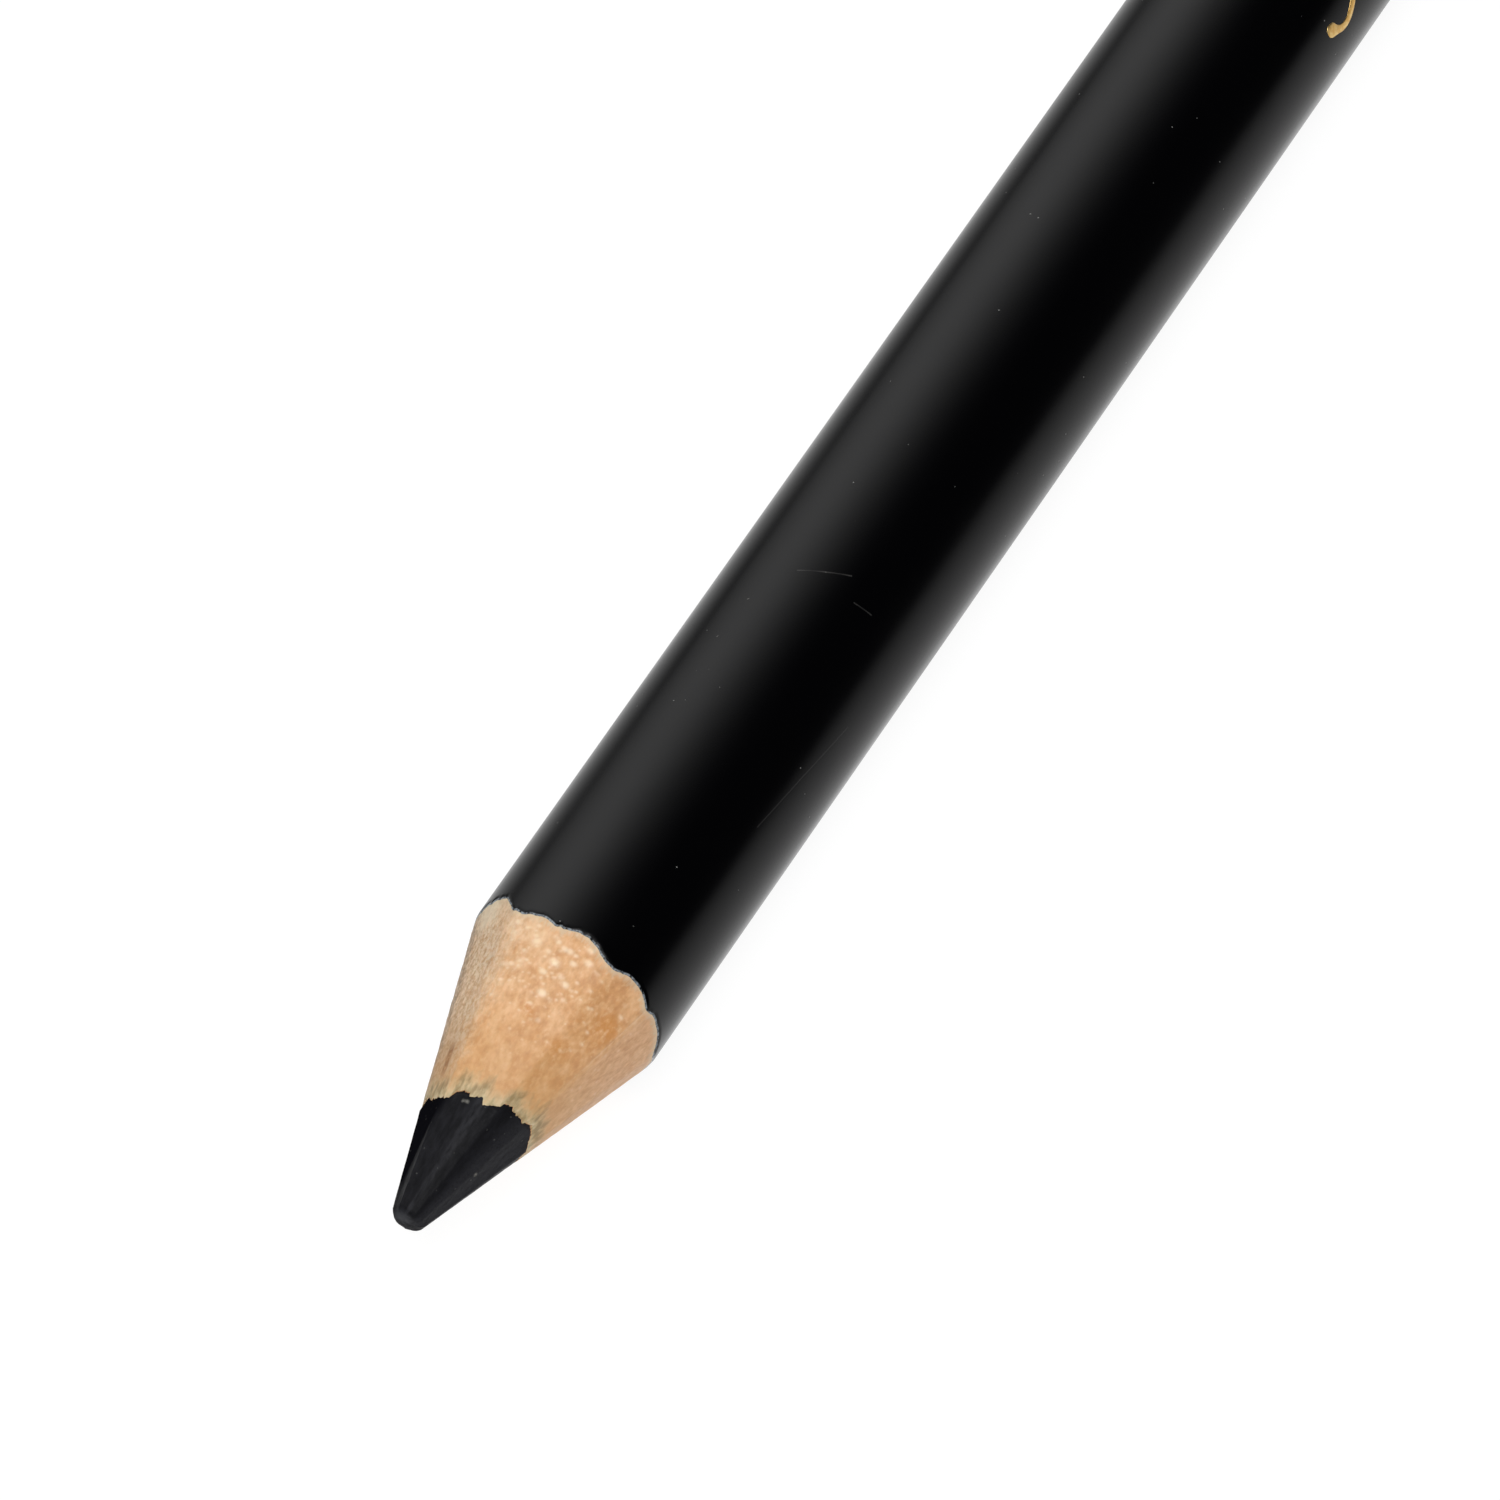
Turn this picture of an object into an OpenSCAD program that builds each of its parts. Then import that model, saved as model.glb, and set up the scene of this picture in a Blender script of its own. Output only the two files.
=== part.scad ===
// Eyeliner pencil: two glued wood halves round a pigment core, lacquered black, sharpened by hand
// at one end and dipped at the other. The pencil lies along X with its point towards -X, and the
// origin is on its axis, halfway along. Turns round the axis start at +Y and go towards +Z.

/* [Barrel] */
// Length from the blunt point to the crown of the rounded end
pencil_l = 130; // [90:1:160]
// Diameter over the lacquer
barrel_d = 7.6; // [6.6:0.1:9]
// Thickness of the lacquer
lacquer_t = 0.05; // [0.03:0.01:0.3]
// Turn of the glue line between the two wood halves
glue_turn = 155; // [0:5:180]

/* [Core] */
// Diameter of the pigment core
core_d = 3.7; // [2.4:0.1:4.6]
// How far the core lies off the pencil's axis
core_off = 0.24; // [0:0.01:0.3]
// The side that the core lies towards, as a turn
core_off_turn = 180; // [0:5:360]

/* [Sharpened point] */
// Angle between opposite sides of the point
point_angle = 33; // [26:0.5:48]
// How far the point's axis lies off the pencil's: a hand never holds it quite true
point_off = 0.12; // [0:0.01:0.2]
// The side that the point's axis lies towards, as a turn
point_off_turn = 180; // [0:5:360]
// Width that the blunt tip would have without its rounding
tip_d = 1.12; // [0.3:0.02:1.4]
// How deep the rounding goes that use has given the tip's edge
tip_round = 0.12; // [0.04:0.01:0.2]
// How far behind the point's axis a facet's own cone is centred: the larger, the flatter the facets
facet_off = 4; // [1:0.5:12]

/* [Dipped end] */
// Height of the rounded end
dome_h = 2.2; // [0.8:0.1:3]
// Length of the dipped band in front of the rounded end
dip_l = 13; // [4:0.1:25]
// Thickness of the dipped band
dip_t = 0.05; // [0.03:0.01:0.2]

/* [Hidden] */
$fn = 96;

barrel_r = barrel_d / 2;
wood_r = barrel_r - lacquer_t;
core_r = core_d / 2;
dip_r = barrel_r + dip_t;
tip_r = tip_d / 2;
half_angle = point_angle / 2;
tip_x = -pencil_l / 2;
end_x = pencil_l / 2;
// The wood is cut off square here, under the rounded end
shoulder_x = end_x - dome_h;
dip_x = shoulder_x - dip_l;
// Where the facets' middle lines would meet in front of the blunt tip
apex_x = tip_x - tip_r / tan(half_angle);
// Middle line of each facet, as a turn, and how much wider than the others it opens, as an angle:
// the hand that turned the pencil spaced them unevenly and cut the first two unlike the rest
FACETS = [
    [38, -0.25], [79, 0.35], [105, 0], [140, 0], [172, 0], [202, 0],
    [232, 0], [262, 0], [292, 0], [325, 0], [356, 0], [15, 0]
];
// How far a cutter runs past the ends of what it cuts
overrun = 1;
// The ball that rounds the tip, and the one that rounds the dipped end
tip_ball_r = ball_r(tip_r + tip_round * tan(half_angle), tip_round);
dome_r = ball_r(dip_r, dome_h);

// Radius of the ball whose cap has this edge radius and height
function ball_r(edge_r, cap_h) = (edge_r * edge_r + cap_h * cap_h) / (2 * cap_h);

// A solid of revolution along X, from x0 to x1
module rod(x0, x1, r) {
    translate([x0, 0, 0]) rotate([0, 90, 0]) cylinder(h = x1 - x0, r = r);
}

// Places its children round an axis that lies off the pencil's by this much, towards this turn
module off_axis(distance, turn) {
    rotate([turn, 0, 0]) translate([0, distance, 0]) children();
}

// One facet: a cone whose axis lies on the far side of the pencil, cut off behind the rear end
module facet_cone(turn, cone_angle) {
    cone_x = apex_x - facet_off / tan(cone_angle);
    cone_l = end_x - cone_x;
    off_axis(point_off, point_off_turn)
        rotate([turn - point_off_turn, 0, 0]) translate([cone_x, -facet_off, 0]) rotate([0, 90, 0])
            cylinder(h = cone_l, r1 = 0, r2 = cone_l * tan(cone_angle));
}

// The rounding of the blunt tip: a ball in front, and room for the whole barrel behind
module tip_rounding() {
    ball_x = tip_x + tip_ball_r;
    off_axis(point_off, point_off_turn) {
        translate([ball_x, 0, 0]) sphere(r = tip_ball_r);
        rod(ball_x, end_x, 2 * dip_r);
    }
}

// Cuts its children to the sharpened point, one facet after another
module sharpened(cuts = len(FACETS)) {
    facet = FACETS[cuts - 1];
    intersection() {
        if (cuts > 1) sharpened(cuts - 1) children();
        else children();
        facet_cone(facet[0], half_angle + facet[1]);
    }
}

// The core's blank. Made longer at both ends, it cuts the groove that the core fills.
module core_rod(longer = 0) {
    off_axis(core_off, core_off_turn) rod(tip_x - longer, shoulder_x + longer, core_r);
}

// Half of the wood casing: a sharpened half-round slat with the core's groove. The turn is its
// middle's.
module casing_half(middle_turn) {
    difference() {
        sharpened() rotate([middle_turn, 0, 0]) translate([tip_x, 0, 0]) rotate([0, 90, 0])
            rotate_extrude(angle = 180) square([wood_r, shoulder_x - tip_x]);
        core_rod(longer = overrun);
    }
}

module upper_casing_half() {
    color("burlywood") casing_half(glue_turn - 90);
}

module lower_casing_half() {
    color("tan") casing_half(glue_turn + 90);
}

module pigment_core() {
    color("darkslategray") intersection() {
        sharpened() core_rod();
        tip_rounding();
    }
}

module lacquer_coat() {
    color("black") sharpened() difference() {
        rod(tip_x, shoulder_x, barrel_r);
        rod(tip_x - overrun, shoulder_x + overrun, wood_r);
    }
}

module dipped_end() {
    color("dimgray") rotate([0, 90, 0]) rotate_extrude() {
        translate([barrel_r, dip_x]) square([dip_t, dip_l]);
        intersection() {
            translate([0, end_x - dome_r]) circle(r = dome_r);
            translate([0, shoulder_x]) square([dip_r, dome_h]);
        }
    }
}

upper_casing_half();
lower_casing_half();
pigment_core();
lacquer_coat();
dipped_end();
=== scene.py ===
import math

import bpy
import numpy as np
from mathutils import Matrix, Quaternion, Vector


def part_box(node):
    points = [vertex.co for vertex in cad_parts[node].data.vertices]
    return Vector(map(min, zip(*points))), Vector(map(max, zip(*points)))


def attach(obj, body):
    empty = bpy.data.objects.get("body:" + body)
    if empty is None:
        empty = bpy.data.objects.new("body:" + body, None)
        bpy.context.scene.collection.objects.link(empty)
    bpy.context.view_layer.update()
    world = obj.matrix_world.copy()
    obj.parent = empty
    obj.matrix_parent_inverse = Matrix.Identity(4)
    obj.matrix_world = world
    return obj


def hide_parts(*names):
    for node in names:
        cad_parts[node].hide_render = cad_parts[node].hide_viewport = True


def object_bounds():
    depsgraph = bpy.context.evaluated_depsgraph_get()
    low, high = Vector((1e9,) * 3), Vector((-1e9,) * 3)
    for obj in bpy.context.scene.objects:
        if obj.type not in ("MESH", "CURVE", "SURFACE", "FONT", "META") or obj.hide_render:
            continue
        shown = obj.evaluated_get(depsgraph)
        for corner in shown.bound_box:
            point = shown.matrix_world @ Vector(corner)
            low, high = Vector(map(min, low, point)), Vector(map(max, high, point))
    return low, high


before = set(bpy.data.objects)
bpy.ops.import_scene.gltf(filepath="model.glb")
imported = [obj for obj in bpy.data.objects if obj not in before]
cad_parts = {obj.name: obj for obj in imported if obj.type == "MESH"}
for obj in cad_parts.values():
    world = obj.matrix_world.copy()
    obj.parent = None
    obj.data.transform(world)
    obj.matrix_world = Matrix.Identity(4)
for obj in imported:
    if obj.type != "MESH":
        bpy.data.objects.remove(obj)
CAD_BOX = [list(corner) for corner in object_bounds()]

MM = 0.001
SEED = 7

# Sizes of the model in millimetres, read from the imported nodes. Turns round the axis are in
# degrees, from +Y towards +Z, as in the part's source.
TIP_X = CAD_BOX[0][0] / MM
END_X = CAD_BOX[1][0] / MM
SHOULDER_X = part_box("lacquer_coat")[1].x / MM
SEAM_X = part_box("dipped_end")[0].x / MM
DIP_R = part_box("dipped_end")[1].z / MM
BARREL_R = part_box("lacquer_coat")[1].z / MM
WOOD_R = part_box("upper_casing_half")[1].z / MM

# The core: its radius, and how far and to which side it lies off the axis
CORE_R = 1.85
CORE_OFF = 0.24
CORE_OFF_TURN = 180
# How far the core's skin stays inside the groove, and how far the wood stands over the core
CORE_GAP = 0.004
WOOD_LIP = 0.012

# The sharpened point: its axis, which lies off the barrel's too, one cone per facet, centred
# behind that axis, and a rounded tip
POINT_OFF = 0.12
POINT_OFF_TURN = 180
HALF_ANGLE = 16.5
SLOPE = math.tan(math.radians(HALF_ANGLE))
TIP_R = 0.56
TIP_ROUND = 0.12
# How much farther the worn tip reaches than the solid's, and how steeply and to which side its
# face leans
TIP_WORN = 0.08
TIP_LEAN = 0.05
TIP_LEAN_TURN = 21
APEX_X = TIP_X - TIP_R / SLOPE
FACET_OFF = 4
FACET_TURNS = np.array([38, 79, 105, 140, 172, 202, 232, 262, 292, 325, 356, 15])
# How much wider than the half angle each facet's cone opens
FACET_WIDER = np.array([-0.25, 0.35] + [0.0] * 10)
FACET_SLOPES = np.tan(np.radians(HALF_ANGLE + FACET_WIDER))
# How sharp the ridges between the facets are, at a radius of one millimetre
RIDGE = 150
GLUE_TURN = 155
# No part of the cone's rim lies farther than this behind the tip
CONE_LENGTH = 20
# Where the hidden skins start: the wood's outside and the lacquer's inside, behind the rim, and
# the groove, behind the wood's front edge
COVERED_X = TIP_X + 14
GROOVE_X = TIP_X + 8
# Where the cut part of the core ends, under the wood, and where its rod starts
CORE_CUT_X = TIP_X + 5.9
CORE_ROD_X = TIP_X + 6.2

# Where the blade took a little more or less off at the rim of the cone: turn and depth
RIM_CUTS = [
    (0, 0), (32, 0), (36, -0.01), (40, 0.01), (45, 0.03), (49, 0.038), (53, 0.022), (55, 0.006),
    (57.5, -0.014), (60, -0.014), (62, 0.012), (65, 0.035), (70, 0.033), (76, 0.026), (80, 0.030),
    (84, 0.018), (88, -0.003), (90, 0.006), (92, -0.006), (95, -0.007), (100, 0.003),
    (104, 0.005), (112, -0.01), (115, -0.03), (119, -0.03), (124, 0), (128, 0.009), (133, 0.03),
    (140, 0.035), (146, 0.038), (150, 0.026), (154, 0.021), (157, 0.044), (160, 0.067),
    (164, 0.05), (168, 0.033), (176, 0.023), (184, 0.02), (190, -0.02), (205, 0), (360, 0),
]
# The distances from the tip between which those cuts set in
RIM_CUTS_SET_IN = (5.5, 10.5)

# The ragged front edge of the wood: turn and distance from the tip
WOOD_FRONT = [
    (0, 4.0), (20, 4.1), (30, 4.12), (36, 4.02), (40, 3.97), (44, 4.04), (48, 4.0), (56, 3.95),
    (68, 3.91), (72, 3.97), (75, 4.1), (78, 4.2), (82, 4.3), (86, 4.37), (90, 4.33), (94, 4.27),
    (98, 4.26), (101, 4.29), (104, 4.39), (106, 4.4), (107.5, 4.25), (110, 4.2), (114, 4.27),
    (118, 4.36), (122, 4.4), (124.5, 4.45), (126, 4.65), (132, 4.76), (134, 4.78), (138, 4.68),
    (141, 4.67), (145, 4.75), (150, 4.71), (153, 4.69), (156, 4.76), (158, 4.89), (166, 4.94),
    (169, 4.9), (171, 4.82), (175, 4.75), (180, 4.66), (184, 4.56), (190, 4.47), (215, 4.5),
    (250, 4.4), (300, 4.15), (330, 4.0), (360, 4.0),
]
# The turns between which this edge follows the photograph
SEEN_TURNS = (25, 190)
# The frayed tab at the rim: the turns between which it rises and falls, and its middle
TAB_RISES = (30, 36)
TAB_FALLS = (55, 62)
TAB_PLACE = (TIP_X + 10.9, 2.95, 2.1)
# The middle of the dark stroke on the left side of the wood, and the side that it lies on
STROKE_PLACE = (TIP_X + 5.4, 1.39, 1.53)
STROKE_TURN = 47.3
# Waxy pimples on top of the cone: distance from the tip, turn and radius. The small ones are
# scattered round PIMPLE_MIDDLE.
PIMPLES = [
    (9.42, 97, 0.17), (9.70, 106, 0.11), (8.97, 94, 0.12), (9.13, 104, 0.12), (8.97, 109, 0.13),
    (8.91, 114, 0.07), (8.35, 100, 0.15), (7.86, 97, 0.08), (8.79, 69, 0.12), (8.86, 73, 0.10),
    (8.24, 71, 0.08), (9.82, 82, 0.13), (9.98, 80, 0.08), (10.16, 91, 0.11), (10.07, 93, 0.10),
    (9.97, 98, 0.12), (9.99, 101, 0.12), (9.97, 105, 0.08), (10.36, 110, 0.12), (9.97, 113, 0.13),
    (10.28, 66, 0.10), (9.93, 67, 0.09), (10.17, 73, 0.08), (10.34, 79, 0.08), (8.31, 106, 0.09),
    (8.52, 113, 0.10), (9.27, 123, 0.07), (9.86, 120, 0.08), (7.53, 107, 0.10), (9.47, 147, 0.09),
    (7.88, 141, 0.07), (8.27, 138, 0.07), (7.08, 121, 0.06), (8.98, 101, 0.07), (9.41, 77, 0.09),
    (9.64, 91, 0.08), (8.61, 63, 0.07), (8.73, 87, 0.06),
]
PIMPLE_MIDDLE = (8.9, 98)
PIMPLE_SPREAD = (1.1, 24)
SMALL_PIMPLES = 90
# Where the wood shows deeper orange: distance from the tip, turn, and how far in millimetres the
# colour is full and where it ends
ORANGE_SPOTS = [(8.9, 146, 0.2, 0.75), (7.65, 98, 0.1, 0.4), (7.2, 130, 0.1, 0.6)]
# Where the knife left an edge between two flat bands on the core
CORE_EDGES = [15, 60, 102, 112, 143, 188, 230, 275, 320, 375]
# Light specks on the core: distance from the tip and turn
CORE_SPECKS = [(4.03, 90), (4.05, 94), (2.45, 163)]
# The middle of the painted highlight on the worn face of the tip
TIP_HIGHLIGHT_PLACE = (TIP_X - 0.06, -0.01, 0.18)

# Fine scratches in the lacquer: their two ends as distance from the tip and turn, and strength
SCRATCHES = [
    ((27.5, 84), (27.9, 97), 0.18), ((27.9, 97), (28.3, 109), 0.18),
    ((27.5, 118), (27.6, 129), 0.13), ((24.0, 156.5), (21.0, 150), 0.07),
    ((21.0, 150), (18.4, 145), 0.07), ((25.76, 69), (25.78, 69.5), 0.4),
    ((23.9, 66.5), (23.92, 67), 0.35), ((61, 250), (58, 262), 0.18), ((84, 20), (81.5, 27), 0.15),
    ((99, 230), (101, 238), 0.18),
]
# How far from a scratch's middle line it is full, and where it ends
SCRATCH_REACH = (0.01, 0.035)

# The dipped coat's soft front edge: distance behind the seam and height over the lacquer
DIP_FRONT = [(0, 0.001), (0.05, 0.016), (0.12, 0.032), (0.25, 0.044), (0.5, DIP_R - BARREL_R)]
# Its eased shoulder: distance behind the shoulder and depth under the coat's radius
DIP_SHOULDER = [(-0.06, 0.002), (0.0, 0.012), (0.05, 0.036)]
# The middle of the few pits in the rounded end
PITS_PLACE = (SHOULDER_X + 0.9, 205, 2.9)

# The foil scrolls: distance of the first crest from the tip, turn of their middle line, crests,
# size against the first one, and the side that the first crest lies to
SCROLLS = [(59.9, 146, 7, 1.0, 1), (89.5, 118, 5, 1.3, -1)]
# Length from crest to crest and height of a crest at size 1
CREST_GAP = 2.75
CREST_HEIGHT = 1.03
# Section of a foil stroke: share of its half width, and height over the lacquer
FOIL_SECTION = [(-1, -0.02), (-1, 0.004), (-0.8, 0.012), (0, 0.015), (0.8, 0.012), (1, 0.004),
                (1, -0.02)]


# Noise

NOISE_TABLE = np.random.default_rng(SEED).random(4096)


def noise(points):
    """Smooth noise from -1 to 1 at an array of points, with one lattice cell per unit."""
    cell = np.floor(points).astype(np.int64)
    part = points - cell
    part = part * part * (3 - 2 * part)
    total = 0
    for corner in np.ndindex(2, 2, 2):
        weight = np.prod(np.where(np.array(corner), part, 1 - part), axis=-1)
        key = (cell + corner) * np.array([73856093, 19349663, 83492791])
        mixed = key[..., 0] ^ key[..., 1] ^ key[..., 2]
        total = total + weight * NOISE_TABLE[(mixed ^ mixed >> 13) % len(NOISE_TABLE)]
    return 2 * total - 1


def layered_noise(points, layers=3):
    """Noise with finer layers on it, each half as strong as the one before."""
    return sum(noise(points * 2 ** k + 17.3 * k) / 2 ** k for k in range(layers))


def smooth_step(low, high, value):
    """0 below low, 1 above high and a smooth rise between."""
    part = np.clip((value - low) / (high - low), 0, 1)
    return part * part * (3 - 2 * part)


# Geometry of the pencil

def placed(x, turn, radius):
    """Points at x, turn and radius, in the unit that x and radius have."""
    x, turn, radius = np.broadcast_arrays(x, np.radians(turn), radius)
    return np.stack([x, radius * np.cos(turn), radius * np.sin(turn)], axis=-1)


def side_distance(turn, middle):
    """Degrees between two turns, from -180 to 180."""
    return (turn - middle + 180) % 360 - 180


def side_arc(turn, middle, points):
    """Millimetres round the axis between points and a turn."""
    return np.radians(side_distance(turn, middle)) * np.hypot(points[..., 1], points[..., 2])


def rim_cut(x, turn):
    """How much deeper than its facets the point is cut, towards its rim."""
    turns, depths = np.array(RIM_CUTS).T
    return np.interp(turn % 360, turns, depths) * smooth_step(*RIM_CUTS_SET_IN, x - TIP_X)


def point_radius(x, turn):
    """Distance from the barrel's axis to the sharpened point's surface at x and turn."""
    x, turn = np.broadcast_arrays(x, turn)
    middles = np.radians(FACET_TURNS)
    own = np.radians(turn[..., None])
    side = np.radians(turn[..., None] - POINT_OFF_TURN)
    along = POINT_OFF * np.cos(side) - FACET_OFF * np.cos(own - middles)
    across = FACET_OFF * np.sin(own - middles) - POINT_OFF * np.sin(side)
    reach = FACET_OFF + (x[..., None] - APEX_X) * FACET_SLOPES
    facets = along + np.sqrt(np.maximum(reach ** 2 - across ** 2, 0))
    sharpness = RIDGE / ((x - APEX_X) * SLOPE)
    lowest = facets.min(axis=-1)
    rest = np.sum(np.exp(-sharpness[..., None] * (facets - lowest[..., None])), axis=-1)
    return lowest - np.log(rest) / sharpness - rim_cut(x, turn)


def point_turn(x, turn, radius):
    """Turn round the point's own axis, and distance from it, of places given round the barrel's."""
    places = placed(x, turn, radius) - placed(0, POINT_OFF_TURN, POINT_OFF)
    y, z = places[..., 1], places[..., 2]
    return np.degrees(np.arctan2(z, y)), np.hypot(y, z)


def edge_x(turn, radius):
    """Where the sharpened point reaches a radius, at each turn."""
    low = np.full(np.shape(turn), TIP_X)
    high = low + CONE_LENGTH
    for _ in range(30):
        middle = (low + high) / 2
        inside = point_radius(middle, turn) < radius
        low, high = np.where(inside, middle, low), np.where(inside, high, middle)
    return (low + high) / 2


def core_wall(turn):
    """Distance from the pencil's axis to the core's side, which lies a little off it."""
    off = np.radians(turn - CORE_OFF_TURN)
    return CORE_OFF * np.cos(off) + np.sqrt(CORE_R ** 2 - (CORE_OFF * np.sin(off)) ** 2)


def core_band(turn):
    """The core's section: most at the edges between its flat bands, least in their middles."""
    edges = np.array(CORE_EDGES)
    turned = (turn - edges[0]) % 360 + edges[0]
    band = np.clip(np.searchsorted(edges, turned, side="right") - 1, 0, len(edges) - 2)
    half = np.radians(edges[band + 1] - edges[band]) / 2
    off = np.radians(turned - (edges[band + 1] + edges[band]) / 2)
    return 1 + 0.6 * (1.05 * np.cos(half) / np.cos(off) - 1)


def core_radius(x, turn):
    """Radius of the core at x and turn, on its point or inside the wood."""
    bare = point_radius(x, turn)
    own_turn, own_radius = point_turn(x, turn, bare)
    bare = bare + own_radius * (core_band(own_turn) - 1)
    return np.minimum(bare, core_wall(turn) - CORE_GAP)


def wood_front(turn):
    """The ragged front edge of the wood, as x at each turn."""
    turns, distances = np.array(WOOD_FRONT).T
    edge = TIP_X + np.interp(turn % 360, turns, distances)
    ring = placed(0, turn, CORE_R)
    peaks = (1 - np.abs(noise(ring * 3.4))) ** 2 - 0.3
    teeth = (1 - np.abs(noise(ring * 8 + 5))) ** 2 - 0.3
    seen = smooth_step(-10, 5, turn % 360 - SEEN_TURNS[0])
    seen = seen * smooth_step(-10, 5, SEEN_TURNS[1] - turn % 360)
    return edge + 0.16 * (1 - seen) * peaks + 0.08 * teeth + 0.05 * noise(ring * 18)


def rim_x(turn):
    """The cone's rim, where the cut runs out of the wood: a little frayed, most at the tab."""
    rim = placed(0, turn, WOOD_R)
    tab = smooth_step(*TAB_RISES, turn % 360) * (1 - smooth_step(*TAB_FALLS, turn % 360))
    frayed = (0.018 + 0.03 * tab) * layered_noise(rim * 5) + 0.012 * noise(rim * 16)
    return edge_x(turn, WOOD_R) + frayed


def pimples(points):
    """Small round swellings on the waxy stretch of the cone, from 0 to 1."""
    random = np.random.default_rng(SEED)
    small = np.stack([random.normal(PIMPLE_MIDDLE[0], PIMPLE_SPREAD[0], SMALL_PIMPLES),
                      random.normal(PIMPLE_MIDDLE[1], PIMPLE_SPREAD[1], SMALL_PIMPLES),
                      random.uniform(0.03, 0.07, SMALL_PIMPLES)], axis=-1)
    away, turn, sizes = np.concatenate([PIMPLES, small]).T
    x = TIP_X + away
    largest = sizes.max()
    height = np.zeros(points.shape[:-1])
    for middle, size in zip(placed(x, turn, point_radius(x, turn)), sizes):
        gap = (points - middle) / (size * np.array([0.9, 1.2, 1.2]))
        swelling = np.exp(-np.sum(gap * gap, axis=-1) ** 1.3)
        height = np.maximum(height, swelling * (0.3 + 0.7 * size / largest))
    return height


def fibres(points):
    """Light and dark spots and streaks of the wood, from about -1 to 1."""
    return layered_noise(points * [3.0, 5.5, 5.5], 3)


def wood_relief(points, turn):
    """Height of fibres, pimples, pores and tool marks on the cut wood."""
    lumps = layered_noise(points * [3.2, 4.2, 4.2] + 40, 2)
    pores = np.maximum(noise(points * [5, 7, 7] + 80) - 0.55, 0)
    tool_marks = noise(points * [0.35, 2.5, 2.5] + 120)
    rough = 0.005 * fibres(points) + 0.008 * lumps - 0.014 * pores
    rough *= 1 - 0.65 * smooth_step(GLUE_TURN - 1, GLUE_TURN + 3, turn % 360)
    glue = sum(np.exp(-(side_arc(turn, side, points) / 0.035) ** 2)
               for side in (GLUE_TURN, GLUE_TURN + 180))
    return rough + 0.030 * pimples(points) + 0.008 * tool_marks - 0.006 * glue


# Meshes

def grid_faces(rows, columns, closed=False, start=0):
    """The quads of a grid of vertices numbered row by row. Closed joins the last column on."""
    row = np.arange(rows - 1)[:, None] * columns + start
    here = np.arange(columns if closed else columns - 1)
    there = (here + 1) % columns
    quads = np.stack([row + here, row + there, row + there + columns, row + here + columns], -1)
    return quads.reshape(-1, 4).tolist()


def make_piece(name, points, faces, material, nodes=()):
    """A shown piece made from points in millimetres. It rides on the part's one body."""
    mesh = bpy.data.meshes.new(name)
    mesh.from_pydata((np.reshape(points, (-1, 3)) * MM).tolist(), [], faces)
    mesh.validate()
    mesh.materials.append(material)
    mesh.shade_smooth()
    piece = bpy.data.objects.new(name, mesh)
    bpy.context.scene.collection.objects.link(piece)
    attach(piece, "root")
    if nodes:
        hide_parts(*nodes)
    return piece


def paint(piece, name, values):
    """Keeps a number per vertex for the piece's material."""
    layer = piece.data.attributes.new(name, "FLOAT", "POINT")
    layer.data.foreach_set("value", np.ravel(values).astype(np.float32))


def lathe(name, rows, material, nodes, sharp):
    """A closed ring of skin: rows of points round the axis, the last joined to the first."""
    rows = np.array(rows)
    count, columns = rows.shape[:2]
    faces = grid_faces(count, columns, closed=True)
    last = (count - 1) * columns
    here = np.arange(columns)
    there = (here + 1) % columns
    faces += np.stack([last + here, last + there, there, here], -1).tolist()
    mark_sharp(make_piece(name, rows, faces, material, nodes), columns, sharp)


def capped(name, rows, centres, material, nodes, sharp):
    """Rows of points round the axis, with the first and the last row closed by two centres."""
    count, columns = rows.shape[:2]
    faces = grid_faces(count, columns, closed=True)
    last = (count - 1) * columns
    for k in range(columns):
        following = (k + 1) % columns
        faces.append([count * columns, following, k])
        faces.append([count * columns + 1, last + k, last + following])
    points = np.concatenate([rows.reshape(-1, 3), centres])
    mark_sharp(make_piece(name, points, faces, material, nodes), columns, sharp)


def mark_sharp(piece, columns, rows):
    """Keeps the edges along these rows of a piece crisp."""
    for edge in piece.data.edges:
        a, b = edge.vertices
        if a // columns == b // columns and a // columns in rows:
            edge.use_edge_sharp = True


def half_turns(middle):
    """Turns across one wood half, close together at its two glued sides."""
    fine = np.array([0, 0.12, 0.25, 0.4, 0.6, 0.85, 1.15, 1.5, 2])
    inner = np.linspace(2, 178, 292)[1:-1]
    return middle - 90 + np.concatenate([fine, inner, 180 - fine[::-1]])


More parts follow.
